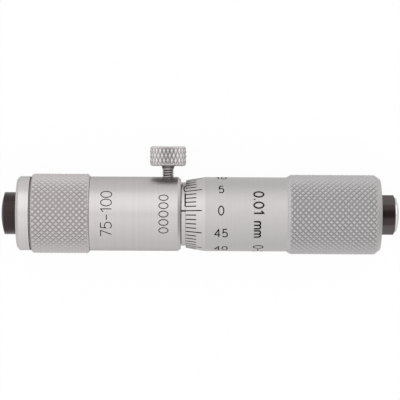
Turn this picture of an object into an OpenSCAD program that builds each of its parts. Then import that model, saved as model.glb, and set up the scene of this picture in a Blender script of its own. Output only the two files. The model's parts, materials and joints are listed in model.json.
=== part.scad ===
// Inside micrometer of the tubular kind, for 75 to 100 mm, wound right in.
// The measuring axis is X: the fixed contact's tip is the origin, and the thimble
// winds out towards +X. The instrument lies as it comes to rest, on its two
// knurled grips and the rim of its clamp knob, with the floor below at -grip_d / 2.

/* [Measuring range] */
// Length over both contact tips with the thimble wound right in
closed_length = 75; // [75:1:100]
// Distance that the thimble winds out
travel = 25; // [15:1:25]
// Divisions round the thimble
divisions = 50; // [20:5:100]
// Angle to the index line from the line a quarter turn above the clamp screw
index_angle = 5.8; // [-20:0.1:20]

/* [Fixed contact and end cap] */
// Diameter of the fixed contact
contact_d = 8; // [6:0.5:10]
// Spherical radius of the fixed contact's face
contact_face_r = 13; // [10:1:25]
// Length of the fixed contact outside the end cap
contact_out = 3.05; // [2:0.05:4]
// Diameter of the fixed contact's threaded shank
contact_shank_d = 4; // [3:0.5:5]
// Length of the end cap outside the barrel
cap_len = 2.7; // [2.5:0.1:4]
// Thickness of the end cap's wall round the fixed contact's shank
cap_wall = 1.9; // [1.5:0.1:2.2]
// Length of the end cap's spigot inside the barrel
cap_spigot_len = 4; // [3:0.5:6]
// Chamfer on the end cap's outer edge
cap_chamfer = 0.5; // [0.2:0.1:0.8]

/* [Barrel] */
// Outer diameter of the barrel and of the end cap
barrel_d = 14; // [13.6:0.1:14.4]
// Length of the barrel's knurled grip
barrel_grip_len = 10.9; // [6:0.1:14]
// Length of the chamfer at the barrel's open end
barrel_chamfer_len = 0.55; // [0.2:0.05:0.8]
// Depth of that chamfer
barrel_chamfer_depth = 0.4; // [0.1:0.05:0.6]

/* [Knurling] */
// Diameter over the crests of both knurled grips
grip_d = 15; // [14.8:0.1:16]
// Depth of the knurling
knurl_depth = 0.4; // [0.3:0.05:0.45]
// Length of a barrel diamond along the axis
barrel_diamond_len = 1; // [0.9:0.05:1.4]
// Width of a barrel diamond round the axis
barrel_diamond_w = 1.24; // [1.1:0.02:1.5]
// Length of a thimble diamond along the axis
thimble_diamond_len = 1.1; // [1:0.05:1.4]
// Width of a thimble diamond round the axis
thimble_diamond_w = 1.3; // [1.2:0.02:1.5]

/* [Sleeves] */
// Outer diameter of the scale sleeve
sleeve_d = 12; // [11.6:0.1:12.2]
// Width of scale sleeve that shows with the thimble wound right in
sleeve_show = 0.95; // [0.6:0.05:2]
// Outer diameter of the inner sleeve under the scale sleeve
core_d = 10.2; // [9.8:0.1:10.6]
// Length of the inner sleeve pressed into the barrel
core_seat_len = 14; // [8:0.5:16]
// Length of the spindle's nut thread inside the inner sleeve
nut_thread_len = 13; // [8:0.5:15]
// Width of the slits that let the nut thread close on the spindle
slit_w = 0.5; // [0.3:0.1:0.8]
// Length of those slits
slit_len = 9; // [5:0.5:12]
// Outer diameter of the adjusting nut
ring_nut_d = 11.5; // [11.2:0.1:11.8]
// Length of the adjusting nut
ring_nut_len = 4; // [3:0.2:4.4]
// Fall of the nut seat's radius over the adjusting nut's length
ring_nut_taper = 0.3; // [0.1:0.05:0.5]
// Room between the inner sleeve's end and the thimble's end wall
core_room = 2.85; // [1:0.05:4]

/* [Spindle] */
// Diameter of the spindle's plain, guided length
spindle_d = 6.5; // [6:0.1:6.8]
// Outer diameter of the spindle's thread
thread_d = 7; // [6.9:0.1:7.4]
// Plain length left between the clamp screw and the thread
thread_clear = 1.2; // [0.8:0.1:2]
// Length of the taper that carries the thimble
taper_len = 2; // [1.6:0.1:2.4]
// Fall of the spindle's radius over that taper
taper_fall = 0.4; // [0.2:0.05:0.6]

/* [Thimble] */
// Length of the thimble
thimble_len = 36.6; // [36:0.1:42]
// Outer diameter of the thimble's plain length
thimble_d = 14; // [13.6:0.1:14.4]
// Length of the graduated bevel
bevel_len = 3.6; // [3.2:0.1:6]
// Wall left at the bevel's edge
bevel_edge = 0.29; // [0.2:0.01:0.5]
// Thickness of the thimble's end wall
thimble_wall = 2.1; // [1.8:0.1:2.4]
// Length of the thimble's knurled grip
thimble_grip_len = 15.8; // [8:0.1:18]
// Length of the cone that rises to the knurled grip
grip_rise_len = 1.05; // [0.6:0.05:2]
// Radius of the round at the thimble's end
end_round = 1.15; // [1.1:0.05:2.5]
// Length of that round
end_round_len = 1.05; // [0.8:0.05:1.1]

/* [Graduations] */
// Divisions from one long line to the next
long_every = 5; // [2:1:10]
// Width of an engraved line
line_w = 0.16; // [0.1:0.02:0.24]
// Depth of an engraved line
line_depth = 0.05; // [0.03:0.01:0.1]
// Length of the thimble's short lines
short_line = 1.95; // [1:0.05:2.5]
// Length of the thimble's long lines
long_line = 3; // [2:0.1:3.2]
// Angle from the index line to the near end of the sleeve's lines
tick_start = 8; // [4:1:12]
// Angle that the sleeve's short lines span
tick_short = 16; // [10:1:20]
// Angle that the sleeve's long lines span
tick_long = 26; // [18:1:30]

/* [Moving contact] */
// Width across the flats of the hexagon
hex_af = 6.6; // [5.5:0.1:7]
// Length of the hexagon
hex_len = 2.7; // [2.4:0.1:4]
// Length of the chamfer on the hexagon's corners
hex_chamfer = 0.2; // [0.1:0.05:0.6]
// Diameter of the moving contact's threaded shank
hex_shank_d = 4; // [3:0.2:4.4]
// Length of that shank
hex_shank_len = 6; // [4:0.5:8]
// Diameter of the domed tip
tip_d = 6.5; // [5:0.1:6.6]
// Spherical radius of the domed tip
tip_face_r = 9.5; // [6:0.1:12]
// Length of the tip's straight edge outside the hexagon
tip_edge = 0.35; // [0.2:0.05:0.6]
// Diameter of the stem that holds the tip
tip_stem_d = 3; // [2:0.1:3.2]
// Length of that stem
tip_stem_len = 1.4; // [1:0.1:1.8]

/* [Clamp screw] */
// Distance from the barrel's open end to the clamp screw's axis
clamp_from_end = 2.45; // [2.2:0.05:4]
// Diameter over the knob's crests
knob_d = 6.92; // [6:0.02:8]
// Height of the knob
knob_h = 3.67; // [3:0.01:5]
// Chamfer on the knob's two edges
knob_chamfer = 0.35; // [0.2:0.05:0.5]
// Height of a knob diamond
knob_diamond_h = 1.66; // [1.2:0.02:2]
// Width of a knob diamond
knob_diamond_w = 0.82; // [0.7:0.02:1.1]
// Depth of the knob's knurling
knob_knurl_depth = 0.25; // [0.15:0.05:0.3]
// Length of screw that shows between the barrel and the knob
neck_len = 2.08; // [1.2:0.02:3]
// Diameter of the collar under the knob
collar_d = 2.46; // [2.4:0.02:3.5]
// Height of that collar
collar_h = 0.5; // [0.3:0.05:0.8]
// Outer diameter of the clamp screw's thread
screw_d = 2.2; // [2:0.1:2.3]
// Pitch of that thread
screw_pitch = 0.45; // [0.35:0.05:0.6]
// Depth of that thread
screw_thread_depth = 0.24; // [0.15:0.01:0.3]
// Length of the brass pad under the screw
pad_len = 1.2; // [0.8:0.1:1.6]
// Gap between the pad and the spindle while the clamp is slack
pad_gap = 0.135; // [0.12:0.005:0.3]

/* [Clearances] */
// Radial gap of pressed and screwed joints
seat_gap = 0.02; // [0.01:0.01:0.04]
// Radial gap of the spindle in its guide and nut thread
guide_gap = 0.02; // [0.01:0.01:0.05]
// Radial gap of the thimble over the scale sleeve
thimble_gap = 0.07; // [0.05:0.01:0.1]
// Gap left between ends that face each other along an axis
end_gap = 0.3; // [0.2:0.05:0.5]

/* [Hidden] */
$fn = 96;

// Colours of the finishes
satin_chrome = [0.78, 0.77, 0.76];
black_oxide = [0.16, 0.15, 0.15];
ground_steel = [0.66, 0.66, 0.67];
carbide = [0.82, 0.81, 0.80];
brass = [0.80, 0.65, 0.32];

// Length by which a cut runs past the face it leaves
over = 1;

// Radii of the main diameters
barrel_r = barrel_d / 2;
bore_r = sleeve_d / 2 + seat_gap;
sleeve_r = sleeve_d / 2;
core_r = core_d / 2;
grip_r = grip_d / 2;
thimble_r = thimble_d / 2;
thimble_bore_r = sleeve_r + thimble_gap;
spindle_r = spindle_d / 2;
thread_r = thread_d / 2;
guide_r = spindle_r + guide_gap;
nut_bore_r = thread_r + guide_gap;
screw_r = screw_d / 2;

// Places along the axis, from the fixed contact's tip
tip_rise = tip_face_r - sqrt(tip_face_r * tip_face_r - tip_d * tip_d / 4);
hex_end_x = closed_length - tip_rise - tip_edge;
thimble_end_x = hex_end_x - hex_len;
thimble_x = thimble_end_x - thimble_len;
thimble_wall_x = thimble_end_x - thimble_wall;
barrel_end_x = thimble_x - sleeve_show;
barrel_x = contact_out + cap_len;
cap_inside_x = contact_out + cap_wall;
clamp_x = barrel_end_x - clamp_from_end;

// The inner sleeve steps down just inside the barrel, where the scale sleeve butts on it
core_x = barrel_end_x - core_seat_len;
core_step_x = barrel_end_x - barrel_chamfer_len - seat_gap;
scale_x = core_step_x + seat_gap;
core_end_x = thimble_wall_x - core_room;
ring_nut_end_x = core_end_x - end_gap;
ring_nut_x = ring_nut_end_x - ring_nut_len;
scale_end_x = ring_nut_x - end_gap;

// The spindle's plain length reaches the clamp pad at every reading
spindle_x = max(cap_inside_x + end_gap, clamp_x - travel - screw_r);
thread_x = clamp_x + screw_r + thread_clear;
relief_x = thread_x - end_gap;
relief_r = thread_r + end_gap / 2;
nut_thread_x = core_end_x - nut_thread_len;
taper_end_x = thimble_end_x - end_gap;
taper_x = taper_end_x - taper_len;

// Heights along the clamp screw, from the measuring axis
pad_bottom = spindle_r + pad_gap;
screw_bottom = pad_bottom + pad_len + seat_gap;
knob_bottom = barrel_r + neck_len;
knob_top = knob_bottom + knob_h;
knob_r = knob_d / 2;

// Angle by which the clamp screw points below level, so that the knob's rim is on the floor
rim_h = knob_top - knob_chamfer;
lie_angle = asin(grip_r / norm([rim_h, knob_r])) - atan2(knob_r, rim_h);

// Turns a profile of radius against length round the measuring axis
module turned() {
    rotate([0, 90, 0])
        rotate_extrude()
            children();
}

// Puts a shape that stands on Z on the clamp screw's axis
module on_clamp_axis() {
    translate([clamp_x, 0, 0])
        rotate([-90 - lie_angle, 0, 0])
            children();
}

// Turns a shape that lies on top of the axis round to the index line and on by an angle
module from_index(angle) {
    rotate([-lie_angle - index_angle - angle, 0, 0])
        children();
}

// Round hole from the clamp screw's axis outwards
module clamp_hole() {
    on_clamp_axis()
        cylinder(h = knob_bottom, r = screw_r + seat_gap);
}

// Ring of diamond knurling on Z: peaks and hollows in a chequer, split along the hollows.
// Its two ends and its inside lie buried in the piece that carries it.
module knurl(length, crest_r, depth, carrier_r, diamond_len, diamond_w) {
    columns = 4 * round(PI * crest_r / diamond_w);
    last = 2 * round(length / diamond_len);
    step = length / last;
    buried_r = carrier_r - depth / 4;
    inside_r = carrier_r - depth;
    function crest(i) = i == 1 || i == last - 1 ? crest_r - depth / 2 : crest_r;
    function skin_r(i, j) =
        i == 0 || i == last ? buried_r : (i + j) % 2 == 0 ? crest(i) : crest_r - depth;
    function ring_point(r, i, j) = let (a = 360 * j / columns) [r * cos(a), r * sin(a), i * step];
    skin = [for (i = [0:last]) for (j = [0:columns - 1]) ring_point(skin_r(i, j), i, j)];
    inside = [for (i = [0, last]) for (j = [0:columns - 1]) ring_point(inside_r, i, j)];
    function s(i, j) = i * columns + j % columns;
    function b(end, j) = (last + 1 + end) * columns + j % columns;
    skin_faces = [
        for (i = [0:last - 1]) for (j = [0:columns - 1]) each (i + j) % 2 == 0
            ? [[s(i, j), s(i + 1, j), s(i, j + 1)], [s(i + 1, j), s(i + 1, j + 1), s(i, j + 1)]]
            : [[s(i, j), s(i + 1, j + 1), s(i, j + 1)], [s(i, j), s(i + 1, j), s(i + 1, j + 1)]]
    ];
    buried_faces = [
        for (j = [0:columns - 1]) each [
            [b(0, j), s(0, j), s(0, j + 1), b(0, j + 1)],
            [s(last, j), b(1, j), b(1, j + 1), s(last, j + 1)],
            [b(1, j), b(0, j), b(0, j + 1), b(1, j + 1)]
        ]
    ];
    polyhedron(concat(skin, inside), concat(skin_faces, buried_faces));
}

// The same ring laid along the measuring axis, with a crest on the floor
module grip_knurl(x, length, carrier_r, diamond_len, diamond_w) {
    translate([x, 0, 0])
        rotate([0, 90, 0])
            knurl(length, grip_r, knurl_depth, carrier_r, diamond_len, diamond_w);
}

// Tube with the knurled grip, chamfered at its open end and drilled for the clamp screw
module barrel() {
    color(satin_chrome)
        difference() {
            union() {
                turned()
                    polygon([
                        [bore_r, barrel_x],
                        [barrel_r, barrel_x],
                        [barrel_r, barrel_end_x - barrel_chamfer_len],
                        [barrel_r - barrel_chamfer_depth, barrel_end_x],
                        [bore_r, barrel_end_x]
                    ]);
                grip_knurl(
                    barrel_x + seat_gap, barrel_grip_len, barrel_r, barrel_diamond_len, barrel_diamond_w
                );
            }
            clamp_hole();
        }
}

// Flanged cap, screwed into the barrel and hollow behind for the spindle's tail
module end_cap() {
    seam = cap_chamfer / 3;
    color(satin_chrome)
        turned()
            polygon([
                [contact_shank_d / 2 + seat_gap, contact_out],
                [barrel_r - cap_chamfer, contact_out],
                [barrel_r, contact_out + cap_chamfer],
                [barrel_r, barrel_x - 2 * seam],
                [barrel_r - seam, barrel_x - seam],
                [barrel_r - seam, barrel_x - seat_gap],
                [bore_r - seat_gap, barrel_x - seat_gap],
                [bore_r - seat_gap, barrel_x + cap_spigot_len],
                [thread_r + end_gap, barrel_x + cap_spigot_len],
                [thread_r + end_gap, cap_inside_x],
                [contact_shank_d / 2 + seat_gap, cap_inside_x]
            ]);
}

// Round contact with a spherical face, on a threaded shank
module fixed_contact() {
    color(black_oxide)
        intersection() {
            turned()
                polygon([
                    [0, 0],
                    [contact_d / 2, 0],
                    [contact_d / 2, contact_out - seat_gap],
                    [contact_shank_d / 2, contact_out - seat_gap],
                    [contact_shank_d / 2, cap_inside_x],
                    [0, cap_inside_x]
                ]);
            translate([contact_face_r, 0, 0])
                rotate([0, 90, 0])
                    sphere(contact_face_r);
        }
}

// Sleeve pressed into the barrel: spindle guide, relief, then the slit and tapered nut thread
module inner_sleeve() {
    slits = 3;
    color(ground_steel)
        difference() {
            turned()
                polygon([
                    [guide_r, core_x],
                    [sleeve_r, core_x],
                    [sleeve_r, core_step_x],
                    [core_r, core_step_x],
                    [core_r, ring_nut_x],
                    [core_r - ring_nut_taper, ring_nut_end_x],
                    [core_r - ring_nut_taper, core_end_x],
                    [nut_bore_r, core_end_x],
                    [nut_bore_r, nut_thread_x],
                    [relief_r, nut_thread_x],
                    [relief_r, relief_x],
                    [guide_r, relief_x]
                ]);
            for (i = [0:slits - 1])
                rotate([360 * i / slits, 0, 0])
                    translate([core_end_x - slit_len, -slit_w / 2, 0])
                        cube([slit_len + over, slit_w, sleeve_r]);
            clamp_hole();
        }
}

// Engraved line along the sleeve, or a stretch of it round the sleeve
module sleeve_tick(x, start, span) {
    from_index(start + span)
        translate([x - line_w / 2, 0, 0])
            rotate([0, 90, 0])
                rotate([0, 0, 180])
                    rotate_extrude(angle = span)
                        translate([sleeve_r - line_depth, 0])
                            square([line_depth + over, line_w]);
}

// Graduated sleeve: index line, millimetres on one side of it and half millimetres on the other
module scale_sleeve() {
    spanner_hole_r = 0.6;
    spanner_hole_x = thimble_x + 5;
    color(satin_chrome)
        difference() {
            turned()
                polygon([
                    [core_r + seat_gap, scale_x],
                    [sleeve_r, scale_x],
                    [sleeve_r, scale_end_x],
                    [core_r + seat_gap, scale_end_x]
                ]);
            from_index(0)
                translate([scale_x - over, -line_w / 2, sleeve_r - line_depth])
                    cube([thimble_x - scale_x + travel + over, line_w, over]);
            for (i = [0:travel])
                sleeve_tick(thimble_x - line_w + i, tick_start, i % long_every == 0 ? tick_long : tick_short);
            for (i = [0:travel - 1])
                sleeve_tick(thimble_x - line_w + i + 0.5, -tick_start - tick_short, tick_short);
            from_index(180)
                translate([spanner_hole_x, 0, 0])
                    cylinder(h = sleeve_r + over, r = spanner_hole_r);
        }
}

// Ring nut on the inner sleeve's tapered end, with two notches for a spanner
module adjusting_nut() {
    notch_w = ring_nut_len / 4;
    color(ground_steel)
        difference() {
            turned()
                polygon([
                    [core_r + seat_gap, ring_nut_x],
                    [ring_nut_d / 2, ring_nut_x],
                    [ring_nut_d / 2, ring_nut_end_x],
                    [core_r - ring_nut_taper + seat_gap, ring_nut_end_x]
                ]);
            translate([ring_nut_end_x - notch_w, -sleeve_r, -notch_w / 2])
                cube([notch_w + over, sleeve_d, notch_w]);
        }
}

// Spindle: chamfered tail, guided length, thread, thimble taper and the contact's tapped hole
module spindle() {
    tail_chamfer = 0.4;
    color(ground_steel)
        turned()
            polygon([
                [0, spindle_x],
                [spindle_r - tail_chamfer, spindle_x],
                [spindle_r, spindle_x + tail_chamfer],
                [spindle_r, thread_x],
                [thread_r, thread_x + thread_r - spindle_r],
                [thread_r, taper_x],
                [thread_r - taper_fall, taper_end_x],
                [hex_shank_d / 2 + seat_gap, taper_end_x],
                [hex_shank_d / 2 + seat_gap, thimble_end_x - hex_shank_len - end_gap],
                [0, thimble_end_x - hex_shank_len - end_gap]
            ]);
}

// One engraved line up the thimble's bevel
module bevel_line(length) {
    edge_r = thimble_bore_r + bevel_edge;
    slope = atan2(thimble_r - edge_r, bevel_len);
    translate([thimble_x, 0, edge_r])
        rotate([0, -slope, 0])
            translate([-over, -line_w / 2, -line_depth])
                cube([length + over, line_w, over]);
}

// Thimble: graduated bevel, plain drum, knurled grip and rounded end on the spindle's taper
module thimble() {
    grip_end_x = thimble_end_x - end_round_len;
    grip_x = grip_end_x - thimble_grip_len;
    collar_r = grip_r - knurl_depth / 2;
    round_r = grip_r - end_round;
    taper_slope = taper_fall / taper_len;
    seat_r = thread_r + seat_gap - taper_slope * (thimble_wall_x - taper_x);
    mouth_r = thread_r + seat_gap - taper_slope * (thimble_end_x - taper_x);
    color(satin_chrome)
        difference() {
            union() {
                turned() {
                    polygon([
                        [thimble_bore_r, thimble_x],
                        [thimble_bore_r + bevel_edge, thimble_x],
                        [thimble_r, thimble_x + bevel_len],
                        [thimble_r, grip_x - grip_rise_len],
                        [collar_r, grip_x],
                        [collar_r, grip_x + seat_gap],
                        [thimble_r, grip_x + grip_rise_len],
                        [thimble_r, grip_end_x],
                        [round_r, grip_end_x],
                        [round_r, thimble_end_x],
                        [mouth_r, thimble_end_x],
                        [seat_r, thimble_wall_x],
                        [thimble_bore_r, thimble_wall_x]
                    ]);
                    intersection() {
                        translate([round_r, grip_end_x])
                            circle(end_round);
                        translate([round_r, grip_end_x])
                            square([end_round, end_round_len]);
                    }
                }
                grip_knurl(
                    grip_x - seat_gap, thimble_grip_len + knurl_depth, thimble_r,
                    thimble_diamond_len, thimble_diamond_w
                );
            }
            for (i = [0:divisions - 1])
                from_index(360 * i / divisions)
                    bevel_line(i % long_every == 0 ? long_line : short_line);
        }
}

// Hexagon with chamfered corners, a threaded shank and a socket for the tip
module moving_contact() {
    corner_r = hex_af / 2 / cos(30);
    stem_r = tip_stem_d / 2 + seat_gap;
    color(black_oxide)
        difference() {
            union() {
                intersection() {
                    translate([thimble_end_x + seat_gap, 0, 0])
                        rotate([90 - lie_angle, 0, 0])
                            rotate([0, 90, 0])
                                cylinder(h = hex_len + over, r = corner_r, $fn = 6);
                    turned()
                        polygon([
                            [0, thimble_end_x - over],
                            [corner_r + 2 * over, thimble_end_x - over],
                            [corner_r + 2 * over, hex_end_x - hex_chamfer - over],
                            [corner_r - 2 * hex_chamfer, hex_end_x],
                            [0, hex_end_x]
                        ]);
                }
                translate([thimble_end_x - hex_shank_len, 0, 0])
                    rotate([0, 90, 0])
                        cylinder(h = hex_shank_len + hex_len / 4, r = hex_shank_d / 2);
            }
            translate([hex_end_x - tip_stem_len - end_gap, 0, 0])
                rotate([0, 90, 0])
                    cylinder(h = tip_stem_len + end_gap + over, r = stem_r);
        }
}

// Polished hard tip: a button with a spherical face, on a stem
module contact_tip() {
    color(carbide)
        intersection() {
            turned()
                polygon([
                    [0, hex_end_x - tip_stem_len],
                    [tip_stem_d / 2, hex_end_x - tip_stem_len],
                    [tip_stem_d / 2, hex_end_x + seat_gap],
                    [tip_d / 2, hex_end_x + seat_gap],
                    [tip_d / 2, closed_length],
                    [0, closed_length]
                ]);
            translate([closed_length - tip_face_r, 0, 0])
                rotate([0, 90, 0])
                    sphere(tip_face_r);
        }
}

// Knurled knob, collar and shank, turned in one piece, with the thread as a row of V rings
module clamp_screw() {
    carrier_r = knob_r - knob_knurl_depth;
    shank_chamfer = 0.2;
    thread_top = knob_bottom - collar_h;
    turns = floor((thread_top - screw_bottom - shank_chamfer) / screw_pitch);
    thread_bottom = thread_top - turns * screw_pitch;
    color(satin_chrome)
        on_clamp_axis() {
            rotate_extrude()
                polygon([
                    [0, screw_bottom],
                    [screw_r - shank_chamfer, screw_bottom],
                    [screw_r, screw_bottom + shank_chamfer],
                    for (i = [0:turns - 1]) each [
                        [screw_r, thread_bottom + i * screw_pitch],
                        [screw_r - screw_thread_depth, thread_bottom + (i + 0.5) * screw_pitch]
                    ],
                    [screw_r, thread_top],
                    [collar_d / 2, knob_bottom],
                    [knob_r - knob_chamfer, knob_bottom],
                    [carrier_r, knob_bottom + knob_chamfer],
                    [carrier_r, knob_top - knob_chamfer],
                    [knob_r - knob_chamfer, knob_top],
                    [0, knob_top]
                ]);
            translate([0, 0, knob_bottom + seat_gap])
                knurl(
                    knob_h - 2 * seat_gap, knob_r, knob_knurl_depth, carrier_r,
                    knob_diamond_h, knob_diamond_w
                );
        }
}

// Brass plug that the clamp screw pushes against the spindle
module clamp_pad() {
    color(brass)
        on_clamp_axis()
            translate([0, 0, pad_bottom])
                cylinder(h = pad_len, r = screw_r - seat_gap);
}

barrel();
end_cap();
fixed_contact();
inner_sleeve();
scale_sleeve();
adjusting_nut();
spindle();
thimble();
moving_contact();
contact_tip();
clamp_screw();
clamp_pad();
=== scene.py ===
"""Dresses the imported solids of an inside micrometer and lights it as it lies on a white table.

The measuring axis is X, with the fixed contact's tip at the origin. Angles round it run from straight
up, +Z, towards +Y. The clamp screw stands out along a second axis that points a little below +Y.
"""

import json
import math

import bmesh
import bpy
import numpy as np
from mathutils import Matrix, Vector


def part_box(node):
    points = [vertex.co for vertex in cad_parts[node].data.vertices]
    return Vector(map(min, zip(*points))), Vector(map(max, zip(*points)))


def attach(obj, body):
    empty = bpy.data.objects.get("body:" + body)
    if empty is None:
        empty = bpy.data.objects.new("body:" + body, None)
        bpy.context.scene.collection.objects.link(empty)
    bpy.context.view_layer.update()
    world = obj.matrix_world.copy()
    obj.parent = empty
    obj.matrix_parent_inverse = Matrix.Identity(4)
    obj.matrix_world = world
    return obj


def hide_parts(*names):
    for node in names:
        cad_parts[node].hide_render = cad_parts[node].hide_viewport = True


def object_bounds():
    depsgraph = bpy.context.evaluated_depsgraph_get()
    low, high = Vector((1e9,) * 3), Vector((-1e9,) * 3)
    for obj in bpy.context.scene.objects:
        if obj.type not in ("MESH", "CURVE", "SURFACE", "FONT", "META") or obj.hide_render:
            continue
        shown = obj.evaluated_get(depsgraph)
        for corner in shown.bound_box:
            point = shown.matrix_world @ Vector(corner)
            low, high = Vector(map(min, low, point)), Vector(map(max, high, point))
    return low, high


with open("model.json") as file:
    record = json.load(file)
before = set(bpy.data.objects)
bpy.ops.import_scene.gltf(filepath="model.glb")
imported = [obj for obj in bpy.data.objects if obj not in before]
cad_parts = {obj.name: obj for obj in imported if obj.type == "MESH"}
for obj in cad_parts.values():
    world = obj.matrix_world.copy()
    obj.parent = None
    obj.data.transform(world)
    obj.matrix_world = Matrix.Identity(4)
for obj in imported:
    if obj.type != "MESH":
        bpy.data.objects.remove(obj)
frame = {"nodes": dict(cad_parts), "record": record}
cad_low, cad_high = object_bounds()


# Barrel: a chromed steel tube, turned, with a grip that is knurled by two crossed sets of cuts.
# Its open end is chamfered. The end cap is screwed into its other end, and the inner sleeve is pressed
# into its bore. Painted shade darkens its joints and the bottoms of the cuts.

mm = 0.001
barrel_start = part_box("barrel")[0].x
barrel_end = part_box("barrel")[1].x
barrel_r = 7.0 * mm
barrel_bore_r = 6.02 * mm
seat_gap = 0.02 * mm
barrel_grip_start = barrel_start + seat_gap
barrel_grip_end = barrel_grip_start + 10.9 * mm
barrel_chamfer = (0.55 * mm, 0.4 * mm)
knurls_round = 40
barrel_knurls_along = 10
grip_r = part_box("barrel")[1].z
knurl_depth = 0.25 * mm
knurl_chamfer = 0.36 * mm
knurl_undercut = (0.1 * mm, 0.12 * mm)
cuts_per_knurl = 8
grip_columns = knurls_round * cuts_per_knurl
fine_edge = 0.06 * mm
up = np.array([0.0, 0.0, 1.0])
measuring_axis = np.array([1.0, 0.0, 0.0])
# Reach of the painted shade on the knurl beside the end cap's joint.
joint_shade_reach = 0.35 * mm
hollow_power = 1.8


def rounded(points, radius, closed=True, steps=5, room_share=0.4, hold_share=0.3):
    """Outline with each corner replaced by an arc that touches both its sides, made smaller where its
    share of a side has no room for it. A further point on each side, a share of the arc's radius away,
    keeps the flat beyond the arc shading flat. An open outline keeps its two ends."""
    points = np.asarray(points, float)
    corner = points if closed else points[1:-1]
    before = np.roll(points, 1, axis=0) if closed else points[:-2]
    after = np.roll(points, -1, axis=0) if closed else points[2:]
    side_a = np.linalg.norm(before - corner, axis=1, keepdims=True)
    side_b = np.linalg.norm(after - corner, axis=1, keepdims=True)
    to_a = (before - corner) / side_a
    to_b = (after - corner) / side_b
    half = np.arccos(np.clip((to_a * to_b).sum(axis=1, keepdims=True), -1, 1)) / 2
    room = room_share * np.minimum(side_a, side_b)
    radius = np.broadcast_to(np.reshape(radius, (-1, 1)), half.shape)
    reach = np.minimum(radius / np.tan(half), room)
    middle = to_a + to_b
    centre = corner + middle / np.linalg.norm(middle, axis=1, keepdims=True) * reach / np.cos(half)
    start = (corner + to_a * reach - centre)[:, None, :]
    stop = (corner + to_b * reach - centre)[:, None, :]
    sweep = (math.pi - 2 * half)[:, :, None]
    share = np.linspace(0, 1, steps)[None, :, None]
    spoke = (np.sin((1 - share) * sweep) * start + np.sin(share * sweep) * stop) / np.sin(sweep)
    bend = centre[:, None, :] + spoke
    hold = reach + hold_share * np.minimum(room, radius)
    first = (corner + to_a * hold)[:, None]
    last = (corner + to_b * hold)[:, None]
    outline = np.concatenate([first, bend, last], axis=1).reshape(-1, 2)
    return outline if closed else np.vstack([points[:1], outline, points[-1:]])


def turned(
    name, along, radius, columns, closed, hollow=None, axis=measuring_axis, top=up, through=np.zeros(3)
):
    """Rows at given places along an axis, carried round it: a row's point at angle a stands at its radius
    times (top cos a + side sin a). The radius may vary round the row. Each cell is split along the
    diagonal that lies nearer the axis, so that cuts stay sharp. A closed outline joins its last row to
    its first, and an open one ends on the axis. Hollow, 0 to 1, is each point's painted shade, mostly by
    depth in a cut."""
    radius = np.broadcast_to(radius if radius.ndim == 2 else radius[:, None], (len(along), columns))
    angle = np.linspace(0, 2 * math.pi, columns, endpoint=False)
    out = np.cos(angle)[:, None] * top + np.sin(angle)[:, None] * np.cross(top, axis)
    points = through + along[:, None, None] * axis + radius[:, :, None] * out[None]
    row = np.arange(len(along) if closed else len(along) - 1)[:, None]
    column = np.arange(columns)[None, :]
    next_row = (row + 1) % len(along)
    next_column = (column + 1) % columns
    a = np.ravel(row * columns + column)
    b = np.ravel(next_row * columns + column)
    c = np.ravel(next_row * columns + next_column)
    d = np.ravel(row * columns + next_column)
    height = radius.ravel()
    across_ac = (height[a] + height[c] <= height[b] + height[d])[:, None]
    first = np.where(across_ac, np.stack([a, b, c], axis=1), np.stack([a, b, d], axis=1))
    second = np.where(across_ac, np.stack([a, c, d], axis=1), np.stack([b, c, d], axis=1))
    return finished(name, points.reshape(-1, 3), np.vstack([first, second]).tolist(), hollow)


def finished(name, points, faces, hollow=None, crease=30, merge=1e-8):
    """Mesh object with its doubled points merged, as at poles, its faces turned outwards and its shading
    smooth up to the crease angle."""
    mesh = bpy.data.meshes.new(name)
    mesh.from_pydata(points, [], faces)
    if hollow is not None:
        mesh.attributes.new("hollow", "FLOAT", "POINT").data.foreach_set("value", np.ravel(hollow))
    work = bmesh.new()
    work.from_mesh(mesh)
    bmesh.ops.remove_doubles(work, verts=work.verts, dist=merge)
    bmesh.ops.recalc_face_normals(work, faces=work.faces)
    work.to_mesh(mesh)
    work.free()
    mesh.shade_smooth()
    mesh.set_sharp_from_angle(angle=math.radians(crease))
    piece = bpy.data.objects.new(name, mesh)
    bpy.context.scene.collection.objects.link(piece)
    return piece


def knurl(along, columns, pitch, round_count, crest, depth, blunt=0.68, first_angle=math.pi):
    """Radius of diamond knurling: u counts diamonds along the axis and v round it. The two sets of cuts
    lie where u + v and u - v are half-way between whole numbers, and the height is the distance to the
    nearer cut, cut off flat above the blunt share of it."""
    angle = np.linspace(0, 2 * math.pi, columns, endpoint=False)
    u = (along / pitch)[:, None]
    v = ((angle - first_angle) * round_count / (2 * math.pi))[None, :]
    height = 1 - 2 * np.maximum(np.abs(u + v - np.round(u + v)), np.abs(u - v - np.round(u - v)))
    return crest - depth + depth * np.minimum(height / blunt, 1)


def node_bench(tree):
    """Two functions for a node tree: one adds a node with its settings, and one links two sockets."""
    def node(kind, inputs=None, **settings):
        made = tree.nodes.new(kind)
        for key, value in settings.items():
            setattr(made, key, value)
        for key, value in (inputs or {}).items():
            made.inputs[key].default_value = value
        return made

    return node, tree.links.new


def shader(name):
    """New node material: gives the material, its surface shader and the two functions for its nodes."""
    material = bpy.data.materials.new(name)
    material.use_nodes = True
    node, link = node_bench(material.node_tree)
    return material, material.node_tree.nodes["Principled BSDF"], node, link


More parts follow.
